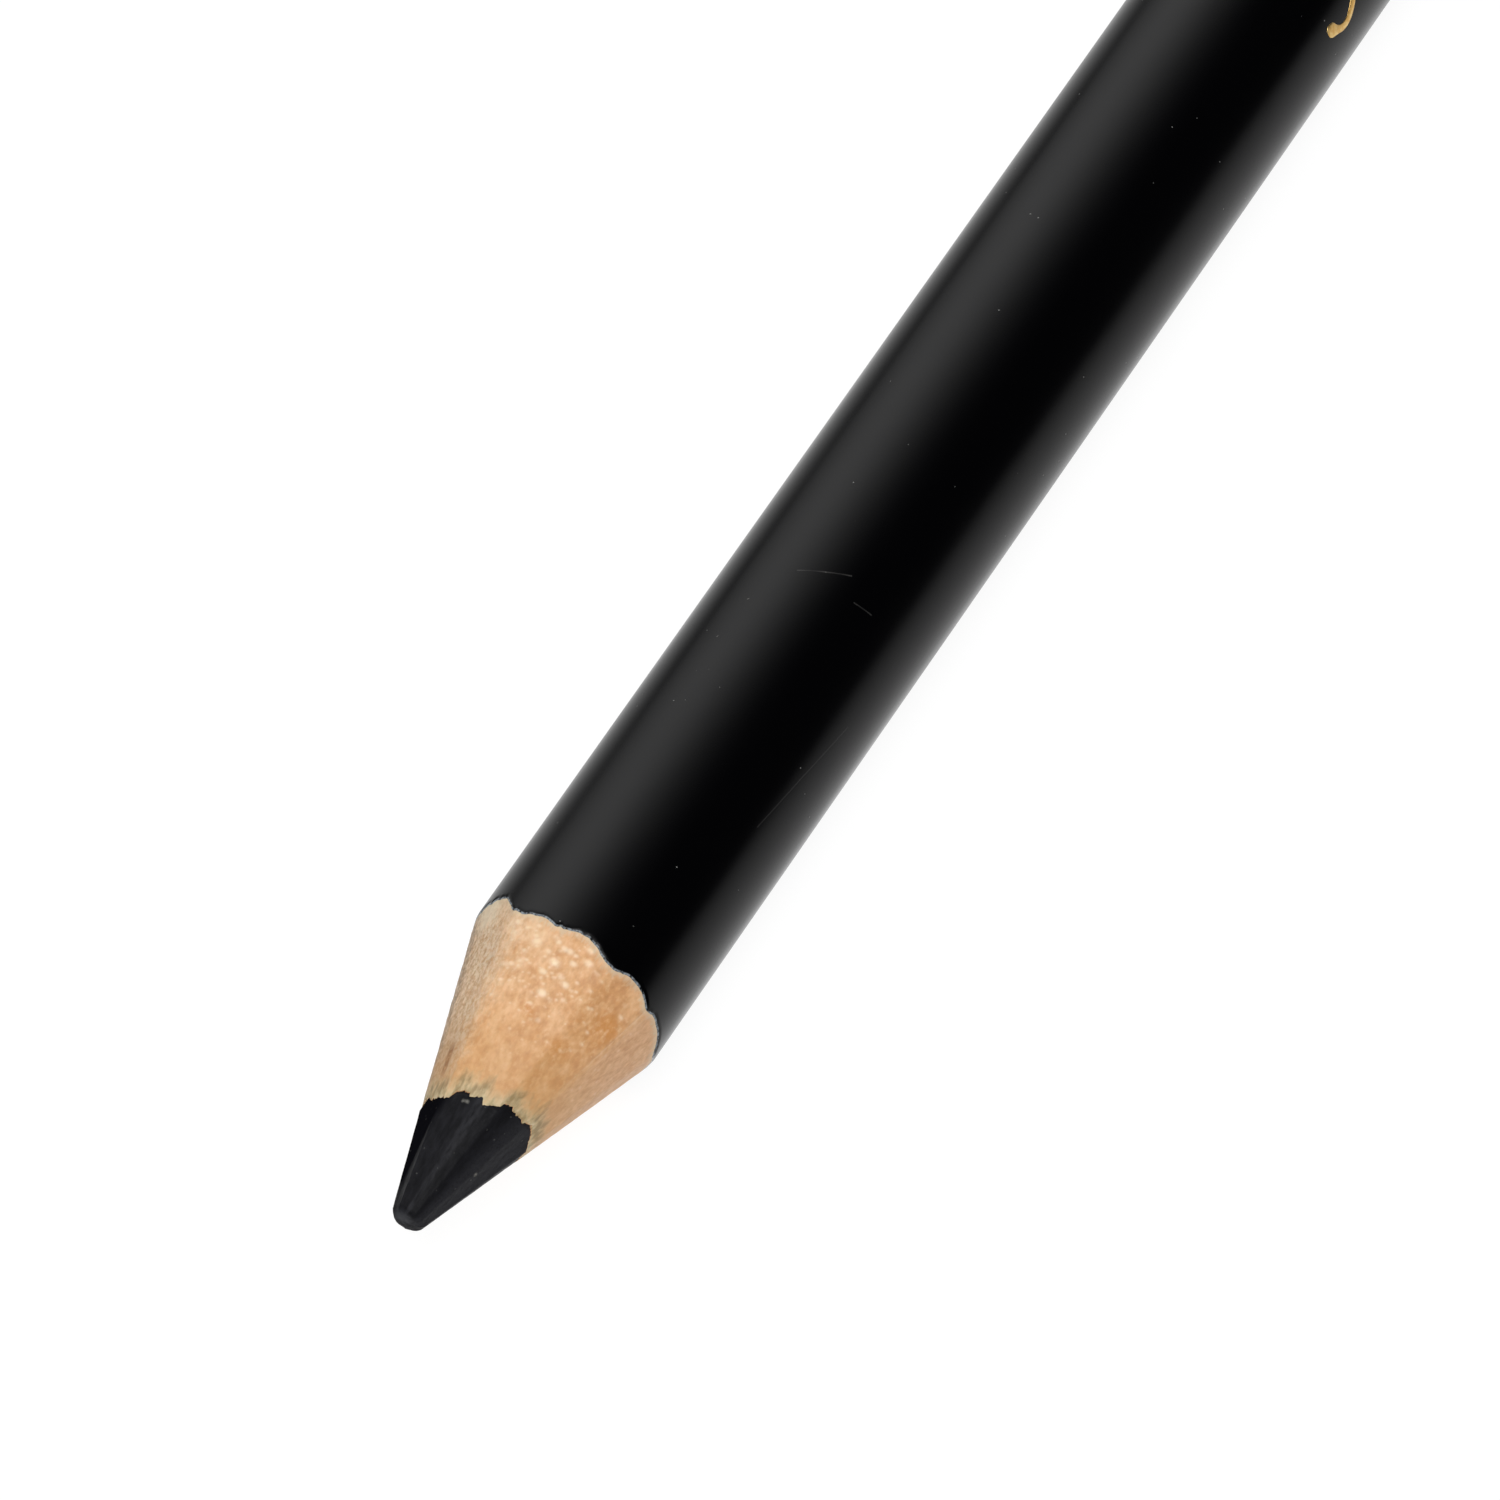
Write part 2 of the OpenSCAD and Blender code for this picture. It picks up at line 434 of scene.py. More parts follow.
def make_casing_half(name, node, middle, material):
    """One wood half: the cut cone, the outside under the lacquer, the end and the groove."""
    turn = half_turns(middle)
    columns = len(turn)
    front, rim = wood_front(turn), rim_x(turn)
    # The first rows lie close together, along the ragged front edge
    steps = np.concatenate([[0, 0.004, 0.01], np.linspace(0.018, 1, 190)])[:, None]
    x = front + (rim - front) * steps
    radius = point_radius(x, turn)
    flat = placed(x, turn, radius)
    fade = smooth_step(0, 0.12, rim - x) * smooth_step(-0.05, 0.25, x - front)
    radius = radius + wood_relief(flat, turn) * fade
    radius = np.minimum(np.maximum(radius, core_radius(x, turn) + WOOD_LIP), WOOD_R)
    cone = placed(x, turn, radius)
    outside = placed(np.array([[COVERED_X], [0], [SHOULDER_X]]), turn, WOOD_R)
    groove = placed(np.array([[SHOULDER_X], [0], [GROOVE_X]]), turn, core_wall(turn))
    mouth_r = np.minimum(core_wall(turn), core_radius(front, turn)) - 0.01
    rows = np.concatenate([cone, outside, groove, placed(front, turn, mouth_r)[None]])
    count = len(rows)
    faces = grid_faces(count, columns)
    last = (count - 1) * columns
    faces += [[last + k, last + k + 1, k + 1, k] for k in range(columns - 1)]
    # The two glued sides
    loop = [row * columns for row in range(count)]
    faces.append(loop)
    faces.append([start + columns - 1 for start in reversed(loop)])
    piece = make_piece(name, rows, faces, material, [node])
    mark_sharp(piece, columns, [len(cone) - 1, len(cone) + 2])
    rest = np.zeros((count - len(cone), columns))
    paint(piece, "fibre", np.concatenate([fibres(flat), rest]))
    paint(piece, "pimple", np.concatenate([pimples(flat), rest]))
    # The hidden skins lie far from both edges of the cone
    paint(piece, "behind_front", np.concatenate([x - front, rest + 10]))
    paint(piece, "before_rim", np.concatenate([rim - x, rest + 10]))


def make_core(material):
    """The pigment core: the worn tip, the cut point and the rod inside the wood."""
    turn = np.arange(0, 360, 360 / 280)
    axis = placed(0, POINT_OFF_TURN, POINT_OFF)
    edge_r = core_radius(np.full_like(turn, TIP_X + TIP_ROUND), turn)
    share = np.linspace(0.04, 1, 26)[:, None]
    tip = axis + share[..., None] * (placed(0, turn, edge_r) - axis)
    lean = (tip - axis) @ placed(0, TIP_LEAN_TURN, 1.0)
    reach = TIP_ROUND + TIP_WORN + TIP_LEAN * lean
    tip[..., 0] = TIP_X + TIP_ROUND - reach * (1 - share ** 6)
    tip[..., 0] += 0.010 * layered_noise(tip * 6)
    start = tip[-1, :, 0]
    x = start + (CORE_CUT_X - start) * np.linspace(0, 1, 190)[1:, None]
    radius = core_radius(x, turn)
    flat = placed(x, turn, radius)
    streaks = layered_noise(flat * [0.8, 7, 7] + 60, 2)
    grit = noise(flat * [14, 18, 18])
    pits = np.maximum(noise(flat * [5, 9, 9] + 30) - 0.5, 0)
    radius = radius + 0.005 * streaks + 0.002 * grit - 0.02 * pits
    rod_x = np.array([[CORE_ROD_X], [0], [SHOULDER_X]])
    rod = placed(rod_x, turn, core_wall(turn) - CORE_GAP)
    rows = np.concatenate([tip, placed(x, turn, radius), rod])
    centres = np.array([axis + (tip[0, :, 0].mean(), 0, 0), (SHOULDER_X, 0, 0)])
    capped("pigment_core_sharpened", rows, centres, material, ["pigment_core"],
           sharp=[len(rows) - 1])


def make_lacquer(material):
    """The lacquer: its cut edge, the gloss outside and the inside on the wood."""
    turn = np.arange(0, 360, 0.75)
    inner = rim_x(turn)
    chips = 0.015 * noise(placed(0, turn, BARREL_R) * 9)
    outer = inner + edge_x(turn, BARREL_R) - edge_x(turn, WOOD_R) + chips
    cut = [placed(inner + (outer - inner) * k, turn, WOOD_R + (BARREL_R - WOOD_R) * k)
           for k in (0, 0.3, 0.6, 0.85)]
    lip = placed(outer + 0.01, turn, BARREL_R - 0.002)
    # The first rows follow the scalloped edge, and the others are straight
    steps = np.concatenate([[0.03, 0.08, 0.2, 0.5, 1], np.linspace(2, 18, 12)])
    near = [placed(outer + step, turn, BARREL_R) for step in steps]
    far = [placed(x, turn, BARREL_R) for x in np.linspace(TIP_X + 32, SHOULDER_X, 24)]
    back = [placed(x, turn, WOOD_R) for x in (SHOULDER_X, 0, COVERED_X)]
    rows = cut + [lip] + near + far + back
    lathe("lacquer_coat_gloss", rows, material, ["lacquer_coat"],
          sharp=[0, len(cut) + len(near) + len(far), len(rows) - 3])


def make_dipped_end(material):
    """The dipped end: a thin film with a soft front edge, a shoulder and the rounded end."""
    turn = np.arange(0, 360, 1.0)
    dome_h = END_X - SHOULDER_X
    ball = (DIP_R ** 2 + dome_h ** 2) / (2 * dome_h)
    seam = SEAM_X + 0.05 * noise(placed(0, turn, 1.2)) + 0.02 * noise(placed(0, turn, 4))
    rows = [placed(SHOULDER_X, turn, BARREL_R)]
    rows += [placed(seam + behind, turn, BARREL_R + height) for behind, height in DIP_FRONT]
    rows += [placed(x, turn, DIP_R) for x in np.linspace(SEAM_X + 1, SHOULDER_X - 0.15, 30)]
    rows += [placed(SHOULDER_X + behind, turn, DIP_R - depth) for behind, depth in DIP_SHOULDER]
    for angle in np.linspace(math.asin(DIP_R / ball) - 0.025, 0.02, 44):
        rows.append(placed(END_X - ball + ball * math.cos(angle), turn, ball * math.sin(angle)))
    centres = np.array([(SHOULDER_X, 0, 0), (END_X, 0, 0)])
    capped("dipped_end_gloss", np.array(rows), centres, material, ["dipped_end"],
           sharp=[0])


def ribbon(path, widths):
    """Rows round a thin foil ribbon laid on the lacquer. The path holds x and the arc from +Y."""
    ahead = np.gradient(path, axis=0)
    ahead /= np.linalg.norm(ahead, axis=1)[:, None]
    aside = np.stack([-ahead[:, 1], ahead[:, 0]], axis=-1)
    rows = []
    for share, lift in FOIL_SECTION:
        edge = path + aside * (share * widths / 2)[:, None]
        rows.append(placed(edge[:, 0], np.degrees(edge[:, 1] / BARREL_R), BARREL_R + lift))
    return np.stack(rows, axis=1)


def scroll_strokes(start, middle_turn, crests, size, side):
    """Paths and widths of one scroll: a waved stem, and curls and leaves at its inner crests."""
    middle = math.radians(middle_turn) * BARREL_R
    gap = CREST_GAP * size
    height = CREST_HEIGHT * size * side

    def laid(x, arc):
        return np.stack([TIP_X + start + x, middle + arc], axis=-1)

    x = np.linspace(-0.36 * gap, (crests - 1 + 0.36) * gap, 60 * crests)
    ends = np.minimum(x - x[0], x[-1] - x) / size
    width = 0.30 + 0.24 * np.exp(-((ends - 0.22) / 0.2) ** 2) - 0.2 * np.exp(-(ends / 0.08) ** 2)
    strokes = [(laid(x, height * np.cos(math.pi * x / gap)), width * size)]
    for crest in range(1, crests - 1):
        way = height * (-1) ** crest
        angle = np.linspace(-0.95 * math.pi, 1.55 * math.pi, 90)
        radius = size * np.linspace(0.62, 0.17, len(angle))
        curl_x = crest * gap + radius * np.cos(angle)
        curl_arc = way * -0.22 + radius * np.sin(angle) * np.sign(way)
        width = np.linspace(0.1, 0.17, len(angle))
        width[-14:] += 0.2 * np.sin(np.linspace(0, math.pi, 14)) ** 0.5
        strokes.append((laid(curl_x, curl_arc), width * size))
        along = np.linspace(0, 1, 24)
        leaf_x = crest * gap + size * (-0.62 + 1.24 * along)
        leaf_arc = way * (1.42 + 0.22 * along + 0.12 * np.sin(math.pi * along))
        width = 0.03 + 0.3 * np.sin(math.pi * along ** 0.8)
        strokes.append((laid(leaf_x, leaf_arc), width * size))
    return strokes


def make_foil(name, scroll, material):
    """One stamped foil ornament, all its strokes in one piece."""
    points, faces = [], []
    for path, widths in scroll_strokes(*scroll):
        rows = ribbon(path, widths)
        count, columns = rows.shape[:2]
        start = sum(len(part) for part in points)
        points.append(rows.reshape(-1, 3))
        faces += grid_faces(count, columns, closed=True, start=start)
        last = start + (count - 1) * columns
        faces.append(list(range(start, start + columns))[::-1])
        faces.append(list(range(last, last + columns)))
    make_piece(name, np.concatenate(points), faces, material)


# Materials

# The colour sockets of a Mix node, whose names other sockets have too
MIX_FIRST, MIX_SECOND, MIX_RESULT = 6, 7, 2


class Look:
    """A material whose nodes are added one call at a time. Its colour is tinted step by step."""

    def __init__(self, name, **sockets):
        self.material = bpy.data.materials.new(name)
        self.material.use_nodes = True
        self.tree = self.material.node_tree
        self.shader = self.tree.nodes["Principled BSDF"]
        for socket, value in sockets.items():
            self.shader.inputs[socket.replace("_", " ")].default_value = value
        self.places = self.add("ShaderNodeTexCoord").outputs["Object"]
        self.colour = None

    def add(self, kind, settings=None, **inputs):
        """A node with these settings. Inputs are values or the outputs of other nodes, by the
        socket's name, or by its number as i0 or i1."""
        node = self.tree.nodes.new(kind)
        for key, value in (settings or {}).items():
            setattr(node, key, value)
        for key, value in inputs.items():
            slot = int(key[1:]) if key in ("i0", "i1") else key.replace("_", " ")
            self.feed(node.inputs[slot], value)
        return node

    def feed(self, socket, value):
        """Links a node's output to a socket, or sets a value on it."""
        if isinstance(value, bpy.types.NodeSocket):
            self.tree.links.new(value, socket)
        else:
            socket.default_value = value

    def shade(self, socket, value):
        self.feed(self.shader.inputs[socket], value)

    def math(self, operation, a, b=0.0):
        return self.add("ShaderNodeMath", {"operation": operation}, i0=a, i1=b).outputs[0]

    def plus(self, a, b):
        return self.math("ADD", a, b)

    def minus(self, a, b):
        return self.math("SUBTRACT", a, b)

    def times(self, first, *others):
        for other in others:
            first = self.math("MULTIPLY", first, other)
        return first

    def vector(self, operation, a, b):
        """The outputs of a vector node."""
        return self.add("ShaderNodeVectorMath", {"operation": operation}, i0=a, i1=b).outputs

    def scaled(self, value, first, last, low=0.3, high=0.7):
        """From first where value is at low to last where it is at high."""
        return self.add("ShaderNodeMapRange", Value=value, From_Min=low, From_Max=high,
                        To_Min=first, To_Max=last).outputs[0]

    def ramp(self, value, low, high):
        """0 where value is at low, 1 where it is at high."""
        return self.scaled(value, 0.0, 1.0, low, high)

    def cells(self, scale, shift):
        """Places with this many cells per millimetre along x, y and z."""
        return self.add("ShaderNodeMapping", Vector=self.places, Location=(shift, shift, shift),
                        Scale=tuple(s / MM for s in scale)).outputs[0]

    def noise(self, scale, detail=3.0, roughness=0.55, shift=0.0):
        """Noise with this many cells per millimetre along x, y and z."""
        return self.add("ShaderNodeTexNoise", Vector=self.cells(scale, shift), Scale=1.0,
                        Detail=detail, Roughness=roughness).outputs[0]

    def spots(self, scale, shift=0.0):
        """Distance to the nearest of scattered points, with this many cells per millimetre."""
        made = self.add("ShaderNodeTexVoronoi", Vector=self.cells(scale, shift), Scale=1.0)
        return made.outputs["Distance"]

    def mix(self, share, first, second):
        node = self.add("ShaderNodeMix", {"data_type": "RGBA"}, Factor=share)
        self.feed(node.inputs[MIX_FIRST], first)
        self.feed(node.inputs[MIX_SECOND], second)
        return node.outputs[MIX_RESULT]

    def tint(self, share, strength, other):
        """Gives the colour this much of another where share is 1."""
        self.colour = self.mix(self.times(share, strength), self.colour, other)

    def parts(self):
        """The x, y and z of a place, in metres."""
        return self.add("ShaderNodeSeparateXYZ", Vector=self.places).outputs

    def radius(self):
        """Distance from the pencil's axis, in millimetres."""
        _, y, z = self.parts()
        squares = self.plus(self.times(y, y), self.times(z, z))
        return self.math("DIVIDE", self.math("SQRT", squares), MM)

    def painted(self, name):
        """The number that each vertex of the piece keeps under this name."""
        return self.add("ShaderNodeAttribute", {"attribute_name": name}).outputs["Fac"]

    def side(self, turn):
        """1 on the side of the pencil at this turn, 0 a quarter round and -1 opposite."""
        _, y, z = self.parts()
        turn = math.radians(turn)
        along = self.plus(self.times(y, math.cos(turn)), self.times(z, math.sin(turn)))
        return self.math("DIVIDE", along, self.times(self.radius(), MM))

    def near(self, middle, full, none):
        """1 within full millimetres of a point, 0 beyond none."""
        middle = tuple(float(v) * MM for v in middle)
        gap = self.vector("DISTANCE", self.places, middle)["Value"]
        return self.ramp(gap, none * MM, full * MM)

    def line(self, first, second, full, none):
        """1 within full millimetres of the stroke between two places on the barrel, 0 beyond none.
        A place is its distance from the tip and its turn."""
        start, end = (placed(TIP_X + away, turn, BARREL_R) for away, turn in (first, second))
        length = float(np.linalg.norm(end - start))
        ahead = tuple(float(v) for v in (end - start) / length)
        start = tuple(float(v) * MM for v in start)
        gap = self.vector("SUBTRACT", self.places, start)["Vector"]
        along = self.vector("DOT_PRODUCT", gap, ahead)["Value"]
        along = self.math("MINIMUM", self.math("MAXIMUM", along, 0.0), length * MM)
        foot = self.add("ShaderNodeVectorMath", {"operation": "SCALE"}, i0=ahead, Scale=along)
        away = self.vector("DISTANCE", gap, foot.outputs["Vector"])["Value"]
        return self.ramp(away, none * MM, full * MM)

    def bump(self, height, depth_mm):
        """Bump from a height of 0 to 1 that stands for this depth."""
        node = self.add("ShaderNodeBump", Height=height, Strength=1.0, Distance=depth_mm * MM)
        self.shade("Normal", node.outputs[0])


def rgb(red, green, blue):
    """A colour as seen on a screen, from 0 to 255, as the shader takes it."""
    def linear(level):
        level /= 255
        return level / 12.92 if level <= 0.04045 else ((level + 0.055) / 1.055) ** 2.4
    return (linear(red), linear(green), linear(blue), 1.0)


def wood_look():
    """The cut wood. Its tints, painted light and shade among them, follow the photographed side,
    place by place.
    """
    look = Look("casing_wood", IOR=1.45, Subsurface_Weight=0.15, Subsurface_Radius=(1.0, 0.5, 0.3),
                Subsurface_Scale=0.25 * MM)
    fibre, pimple = look.painted("fibre"), look.painted("pimple")
    behind_front, before_rim = look.painted("behind_front"), look.painted("before_rim")
    patches = look.noise((0.5, 0.6, 0.6), shift=5)
    mottle = look.noise((1.5, 2.1, 2.1), shift=1)
    flecks = look.noise((4.5, 6.5, 6.5), detail=2, roughness=0.5, shift=21)
    fuzz = look.noise((2.5, 9, 9), roughness=0.65, shift=31)
    specks = look.noise((5, 6, 6), roughness=0.7, shift=52)
    tufts = look.noise((1.1, 3.4, 3.4), detail=2, roughness=0.5, shift=63)
    wisps = look.minus(fuzz, 0.5)
    light, dark = rgb(236, 192, 146), rgb(190, 134, 86)

    # Patches, mottle, fibres and flecks all over
    look.colour = look.mix(look.ramp(patches, 0.36, 0.64), rgb(226, 177, 130), rgb(214, 159, 105))
    warm = look.ramp(look.noise((0.8, 1.1, 1.1), shift=44), 0.35, 0.6)
    look.tint(look.times(look.ramp(look.side(134), 0.74, 0.98), warm), 0.22, rgb(212, 148, 84))
    look.tint(look.ramp(mottle, 0.48, 0.7), 0.65, light)
    look.tint(look.ramp(mottle, 0.5, 0.3), 0.42, dark)
    look.tint(look.ramp(fibre, 0.0, 0.9), 0.3, light)
    look.tint(look.ramp(fibre, 0.0, -0.9), 0.3, dark)
    look.tint(look.ramp(flecks, 0.52, 0.74), 0.4, rgb(242, 206, 164))
    look.tint(look.ramp(flecks, 0.48, 0.28), 0.3, rgb(184, 130, 86))
    for away, turn, full, none in ORANGE_SPOTS:
        middle = placed(TIP_X + away, turn, point_radius(TIP_X + away, turn))
        spot = look.times(look.near(middle, full, none), look.ramp(flecks, 0.7, 0.4))
        look.tint(spot, 0.65, rgb(206, 138, 66))
    # Light cream on the pimples: partly their waxy colour, partly a painted highlight
    look.tint(look.times(pimple, look.ramp(mottle, 0.2, 0.5)), 0.85, rgb(254, 230, 196))

    # The right side, past the glue line: finer grain and small light dots
    right = look.ramp(look.side(214), 0.46, 0.62)
    fine = look.mix(look.ramp(fuzz, 0.35, 0.65), rgb(190, 142, 106), rgb(224, 183, 144))
    look.tint(right, 0.55, fine)
    dots = look.ramp(look.spots((3.2, 3.6, 3.6), shift=33), 0.3, 0.12)
    look.tint(look.times(dots, right, look.ramp(mottle, 0.4, 0.6)), 0.4, rgb(240, 208, 176))

    # The left side: pale and speckled, with a pale stripe beside it
    left = look.ramp(look.plus(look.side(24), look.times(wisps, 0.6)), 0.62, 0.98)
    pale = look.mix(look.ramp(specks, 0.4, 0.6), rgb(170, 146, 116), rgb(232, 216, 190))
    look.tint(left, 0.6, pale)
    stripe = look.times(look.ramp(look.side(50), 0.94, 0.998), look.ramp(specks, 0.4, 0.6),
                        look.ramp(patches, 0.35, 0.6))
    look.tint(stripe, 0.45, rgb(216, 202, 178))
    # Painted light at the top, a grey edge of painted shade at the far left and painted shade low
    # on the left
    upper = look.times(look.ramp(look.side(72), 0.92, 0.99), look.ramp(before_rim, 3.4, 1.4),
                       look.ramp(mottle, 0.3, 0.6))
    look.tint(upper, 0.4, rgb(238, 210, 176))
    rim_shade = look.plus(look.side(15), look.times(wisps, 0.06))
    rim_shade = look.times(look.ramp(rim_shade, 0.962, 0.99), look.ramp(specks, 0.66, 0.4))
    look.tint(rim_shade, 0.65, rgb(124, 104, 82))
    low = look.times(look.ramp(look.side(30), 0.85, 0.97), look.ramp(behind_front, 3.6, 1.4))
    look.tint(low, 0.35, rgb(160, 118, 78))
    stroke = look.times(look.near(STROKE_PLACE, 0.35, 0.75),
                        look.ramp(look.side(STROKE_TURN), 0.9965, 0.9993),
                        look.ramp(specks, 0.34, 0.5))
    look.tint(stroke, 0.9, rgb(120, 72, 42))

    # Darker, more orange wood towards the front edge, and its pale fringe with painted shade in it
    behind = look.plus(behind_front, look.times(look.minus(tufts, 0.5), 1.6))
    look.tint(look.ramp(behind, 3.4, 0.3), 0.5, rgb(198, 150, 92))
    fringe_and_shade = look.mix(look.ramp(look.plus(tufts, look.times(wisps, 0.4)), 0.36, 0.6),
                      rgb(146, 128, 90), rgb(208, 192, 154))
    look.tint(look.ramp(behind, 0.85, 0.15), 0.85, fringe_and_shade)
    # The pale rim, and the frayed tab on it
    before = look.plus(before_rim, look.times(wisps, 0.7))
    look.tint(look.ramp(before, 0.25, 0.0), 0.7, rgb(216, 196, 166))
    tab = look.times(look.near(TAB_PLACE, 0.3, 0.9), look.ramp(fuzz, 0.3, 0.5))
    look.tint(tab, 0.7, rgb(228, 212, 184))
    # The glue line, by the distance from its plane
    _, y, z = look.parts()
    turn = math.radians(GLUE_TURN)
    across = look.minus(look.times(z, math.cos(turn)), look.times(y, math.sin(turn)))
    off_plane = look.math("DIVIDE", look.math("ABSOLUTE", across), MM)
    glue = look.times(look.ramp(off_plane, 0.05, 0.015), look.ramp(fuzz, 0.35, 0.55),
                      look.ramp(behind_front, 0.8, 3.5))
    look.tint(glue, 0.5, rgb(232, 194, 156))

    look.shade("Base Color", look.colour)
    look.shade("Roughness", look.minus(0.58, look.times(pimple, 0.22)))
    look.bump(flecks, 0.012)
    return look.material


def core_look():
    """The pigment: matt and streaky, with specks, the photographed bands in painted light and
    shade, and a painted highlight on its worn face.
    """
    look = Look("core_pigment", IOR=1.4)
    streaks = look.noise((0.8, 7, 7), detail=4)
    grit = look.noise((13, 16, 16), detail=2, shift=9)
    bands = look.noise((0.3, 1.4, 1.4), detail=1, shift=4)
    look.colour = look.mix(look.ramp(streaks, 0.35, 0.7), rgb(17, 17, 20), rgb(30, 30, 34))
    look.tint(look.ramp(bands, 0.5, 0.3), 0.5, rgb(14, 14, 17))
    # A painted highlight streak down the front, a band of painted shade to its right and painted
    # light on the band beyond
    highlight_streak = look.times(look.ramp(look.side(107), 0.990, 0.998), look.ramp(streaks, 0.3, 0.6))
    look.tint(highlight_streak, 0.5, rgb(48, 48, 52))
    middle = look.times(look.ramp(look.side(127), 0.95, 0.985), look.ramp(grit, 0.2, 0.5))
    look.tint(middle, 0.35, rgb(13, 13, 15))
    right = look.times(look.ramp(look.side(166), 0.88, 0.97), look.ramp(grit, 0.25, 0.5))
    look.tint(right, 0.6, rgb(42, 42, 46))
    # Painted shade: a dark band on the left, which widens away from the tip
    widening = look.times(look.minus(look.parts()[0], (TIP_X + 1.2) * MM), 91.0)
    left = look.ramp(look.plus(look.side(26), widening), 0.88, 0.99)
    look.tint(left, 0.9, rgb(13, 13, 17))
    dust = look.times(look.ramp(look.spots((3, 3, 3), shift=3), 0.12, 0.08),
                      look.ramp(grit, 0.5, 0.62))
    look.tint(dust, 0.6, rgb(84, 84, 82))
    for away, turn in CORE_SPECKS:
        middle = placed(TIP_X + away, turn, core_radius(TIP_X + away, turn))
        speck = look.times(look.near(middle, 0.02, 0.1), look.ramp(grit, 0.3, 0.55))
        look.tint(speck, 0.8, rgb(122, 120, 114))
    # Painted highlight: a lighter grey on the tip's worn face
    tip_highlight = look.times(look.near(TIP_HIGHLIGHT_PLACE, 0.16, 0.4), look.ramp(grit, 0.1, 0.45))
    look.tint(tip_highlight, 0.9, rgb(56, 57, 61))
    look.shade("Base Color", look.colour)
    # Less sheen in the painted shade on the left
    look.shade("Specular IOR Level", look.scaled(left, 0.13, 0.0, 0.0, 1.0))
    look.shade("Roughness", look.scaled(streaks, 0.62, 0.48))
    look.bump(grit, 0.006)
    return look.material


def lacquer_look(name, gloss, front=False):
    """Black lacquer. Gloss is its lowest and highest roughness. The front coat shows the primer
    along its cut edge, and scratches. The other one has a few pits in its rounded end."""
    look = Look(name, IOR=1.25)
    specks = look.spots((1.4, 1.4, 1.4), shift=2)
    rare = look.noise((0.5, 0.5, 0.5), detail=1, shift=14)
    marks = look.times(look.ramp(specks, 0.05, 0.03), look.ramp(rare, 0.5, 0.56))
    look.colour = look.mix(marks, rgb(2, 2, 3), rgb(110, 110, 108))
    if front:
        wear = look.noise((6, 9, 9), detail=2, shift=8)
        primer = look.ramp(look.radius(), WOOD_R + 0.026, WOOD_R + 0.016)
        look.tint(primer, look.ramp(wear, 0.36, 0.6), rgb(142, 150, 156))
        for first, second, strength in SCRATCHES:
            scratch = look.times(look.line(first, second, *SCRATCH_REACH), strength)
            look.tint(scratch, 1.0, rgb(120, 118, 116))
            marks = look.math("MAXIMUM", marks, scratch)
        look.bump(look.noise((0.7, 0.9, 0.9), detail=1, shift=19), 0.004)
    else:
        pits = look.times(look.ramp(look.spots((2.6, 2.6, 2.6), shift=7), 0.17, 0.08),
                          look.near(placed(*PITS_PLACE), 0.5, 2.0))
        look.tint(pits, 0.3, rgb(60, 60, 62))
        look.bump(pits, 0.015)
    look.shade("Base Color", look.colour)
    smudges = look.noise((0.12, 0.5, 0.5), shift=6)
    look.shade("Roughness", look.plus(look.scaled(smudges, *gloss), look.times(marks, 0.3)))
    return look.material


def gold_look():
    """Gold foil, a little rubbed."""
    look = Look("gold_foil", Metallic=1.0)
    wear = look.noise((5, 5, 5))
    rub = look.noise((0.8, 0.8, 0.8), detail=2, shift=11)
    look.colour = look.mix(look.ramp(wear, 0.4, 0.7), rgb(204, 160, 86), rgb(234, 204, 138))
    look.tint(look.ramp(rub, 0.6, 0.75), 0.6, rgb(150, 112, 60))
    look.shade("Base Color", look.colour)
    look.shade("Roughness", look.scaled(wear, 0.28, 0.42))
    look.bump(wear, 0.004)
    return look.material


# Studio

FLOOR_Z = -DIP_R
VIEW_AZIMUTH = -61.27
VIEW_ELEVATION = 52.68
VIEW_ROLL = 0.437
VIEW_DISTANCE = 496.6
VIEW_TARGET = (TIP_X + 22.567, -0.521, 0)
SENSOR_MM = 36
PICTURE_PX = 1500
FOCAL_PX = 14704
# How bright the camera sees the floor and the background, and how bright the background is for
# the pencil
SEEN_LEVEL = 0.92
WORLD_LEVEL = 0.015
WHITE = (1, 1, 1, 1)
FLOOR_HALF = 3.0
FLOOR_GREY = (0.12, 0.12, 0.12, 1)
# How far to the left and to the right what the floor gives the pencil has halved, in metres, and
# the power of the distance that it fades with
GLOW_LEFT = 0.016
GLOW_RIGHT = 0.036
GLOW_POWER = 1.6
# The softbox: its brightest turn, how many degrees from it the light has faded to 1/e, and its
# level where it is brightest; then its last turn, its radius and its length in metres
SOFTBOX_TURN = 44
SOFTBOX_FADE = 35
SOFTBOX_LEVEL = 2.2
SOFTBOX_END_TURN = 125
SOFTBOX_R = 1.0
SOFTBOX_LENGTH = 1.2
# The key light: where it hangs, seen from the pencil, how far away in metres, its size and watts
KEY_DIRECTION = (-0.35, -0.25, 0.9)
KEY_DISTANCE = 1.0
KEY_SIZE = 0.6
KEY_POWER = 9


def make_camera():
    azimuth, elevation = math.radians(VIEW_AZIMUTH), math.radians(VIEW_ELEVATION)
    back = Vector((math.sin(azimuth) * math.cos(elevation),
                   -math.cos(azimuth) * math.cos(elevation), math.sin(elevation)))
    data = bpy.data.cameras.new("camera")
    data.sensor_width = SENSOR_MM
    data.lens = SENSOR_MM * FOCAL_PX / PICTURE_PX
    data.clip_start, data.clip_end = 0.01, 20
    camera = bpy.data.objects.new("camera", data)
    camera.location = (Vector(VIEW_TARGET) + back * VIEW_DISTANCE) * MM
    roll = Quaternion((0, 0, 1), math.radians(VIEW_ROLL))
    camera.rotation_euler = ((-back).to_track_quat("-Z", "Y") @ roll).to_euler()
    bpy.context.scene.collection.objects.link(camera)
    bpy.context.scene.camera = camera


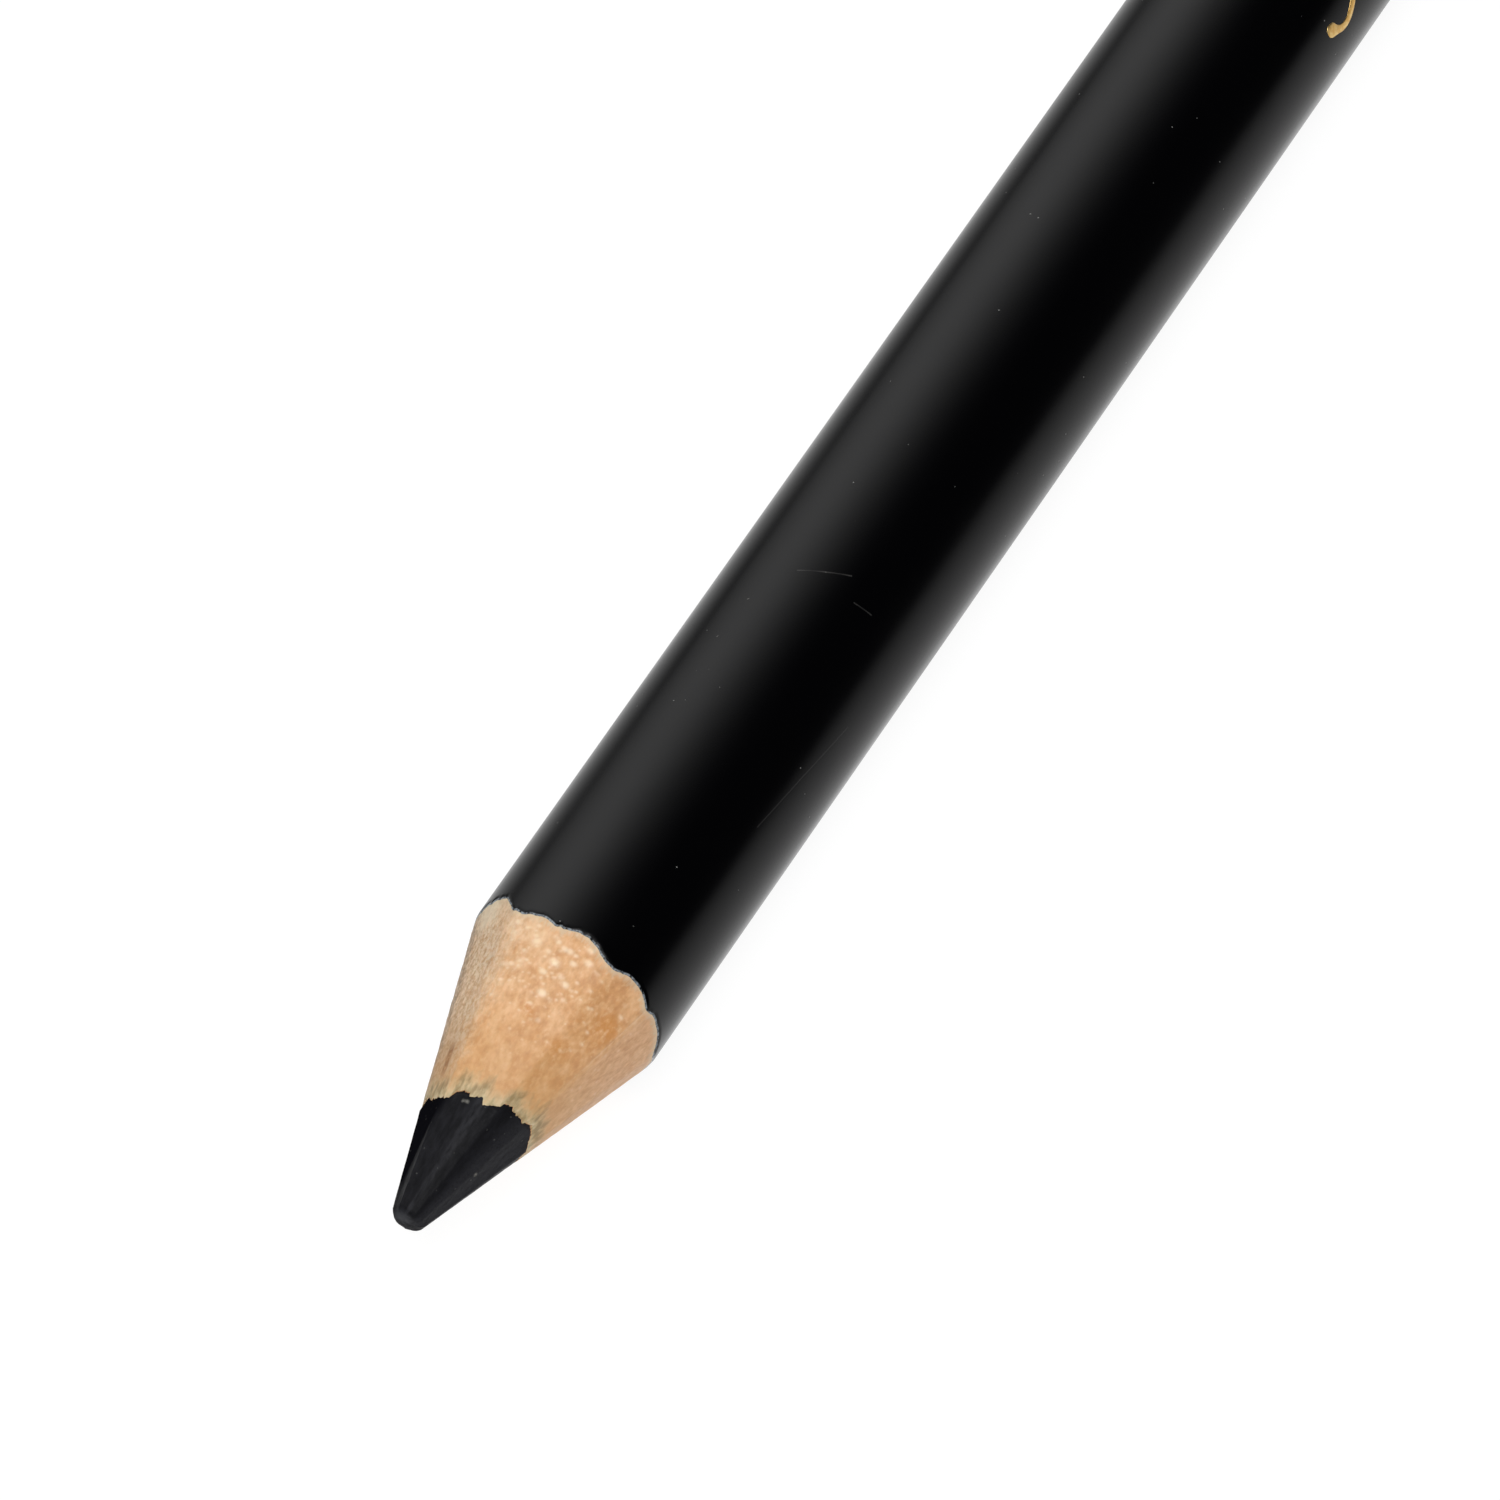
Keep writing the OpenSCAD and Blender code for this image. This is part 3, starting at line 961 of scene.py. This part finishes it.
def stage_piece(name, points, faces, material):
    """A part of the studio, from points in metres."""
    mesh = bpy.data.meshes.new(name)
    mesh.from_pydata(np.reshape(points, (-1, 3)).tolist(), [], faces)
    mesh.materials.append(material)
    mesh.shade_smooth()
    piece = bpy.data.objects.new(name, mesh)
    bpy.context.scene.collection.objects.link(piece)
    return piece


def make_floor():
    """A pale table, lit from within. What it gives the pencil fades with the distance from it,
    sooner on the left, where another pencil lies in the photograph."""
    look = Look("studio_floor", Base_Color=FLOOR_GREY, Roughness=1.0, Specular_IOR_Level=0.0,
                Emission_Color=WHITE)
    y = look.parts()[1]
    distance = look.math("MAXIMUM", look.math("DIVIDE", y, GLOW_LEFT),
                         look.math("DIVIDE", y, -GLOW_RIGHT))
    fade = look.math("DIVIDE", 1.0, look.plus(1.0, look.math("POWER", distance, GLOW_POWER)))
    seen = look.add("ShaderNodeLightPath").outputs["Is Camera Ray"]
    look.shade("Emission Strength", look.scaled(seen, fade, SEEN_LEVEL, 0.0, 1.0))
    corners = [(FLOOR_HALF * i, FLOOR_HALF * j, FLOOR_Z * MM)
               for i, j in ((-1, -1), (1, -1), (1, 1), (-1, 1))]
    stage_piece("studio_floor", corners, [(0, 1, 2, 3)], look.material)


def make_softbox():
    """A curved softbox along the left, brightest half-way up: the soft band on the lacquer."""
    look = Look("studio_softbox", Base_Color=(0, 0, 0, 1), Specular_IOR_Level=0.0,
                Emission_Color=WHITE)
    _, y, z = look.parts()
    off = look.minus(look.math("ARCTAN2", z, y), math.radians(SOFTBOX_TURN))
    off = look.math("DIVIDE", off, math.radians(SOFTBOX_FADE))
    fade = look.math("EXPONENT", look.times(off, off, -1.0))
    look.shade("Emission Strength", look.times(fade, SOFTBOX_LEVEL))
    turns = np.linspace(0, SOFTBOX_END_TURN, 26)[:, None]
    points = placed(np.array([[0.0, SOFTBOX_LENGTH]]), turns, SOFTBOX_R)
    softbox = stage_piece("studio_softbox", points, grid_faces(len(turns), 2), look.material)
    softbox.visible_camera = False


def make_world():
    """The background, which hardly lights the pencil."""
    world = bpy.data.worlds.new("studio")
    world.use_nodes = True
    nodes, links = world.node_tree.nodes, world.node_tree.links
    nodes["Background"].inputs["Color"].default_value = WHITE
    level = nodes.new("ShaderNodeMapRange")
    level.inputs["To Min"].default_value = WORLD_LEVEL
    level.inputs["To Max"].default_value = SEEN_LEVEL
    links.new(nodes.new("ShaderNodeLightPath").outputs["Is Camera Ray"], level.inputs["Value"])
    links.new(level.outputs[0], nodes["Background"].inputs["Strength"])
    bpy.context.scene.world = world


def make_key_light():
    """A soft light from above that looks at the middle of the photographed stretch."""
    data = bpy.data.lights.new("key", "AREA")
    data.shape = "SQUARE"
    data.size = KEY_SIZE
    data.energy = KEY_POWER
    light = bpy.data.objects.new("key", data)
    away = Vector(KEY_DIRECTION).normalized()
    light.location = Vector(VIEW_TARGET) * MM + away * KEY_DISTANCE
    light.rotation_euler = (-away).to_track_quat("-Z", "Y").to_euler()
    bpy.context.scene.collection.objects.link(light)


make_camera()
make_floor()
make_softbox()
make_world()
make_key_light()
bpy.context.scene.view_settings.view_transform = "Standard"
WOOD = wood_look()
make_casing_half("upper_half_sharpened", "upper_casing_half", GLUE_TURN - 90, WOOD)
make_casing_half("lower_half_sharpened", "lower_casing_half", GLUE_TURN + 90, WOOD)
make_core(core_look())
make_lacquer(lacquer_look("black_lacquer", (0.19, 0.25), front=True))
make_dipped_end(lacquer_look("dip_lacquer", (0.10, 0.15)))
FOIL = gold_look()
for number, scroll in enumerate(SCROLLS):
    make_foil("foil_scroll_%d" % (number + 1), scroll, FOIL)
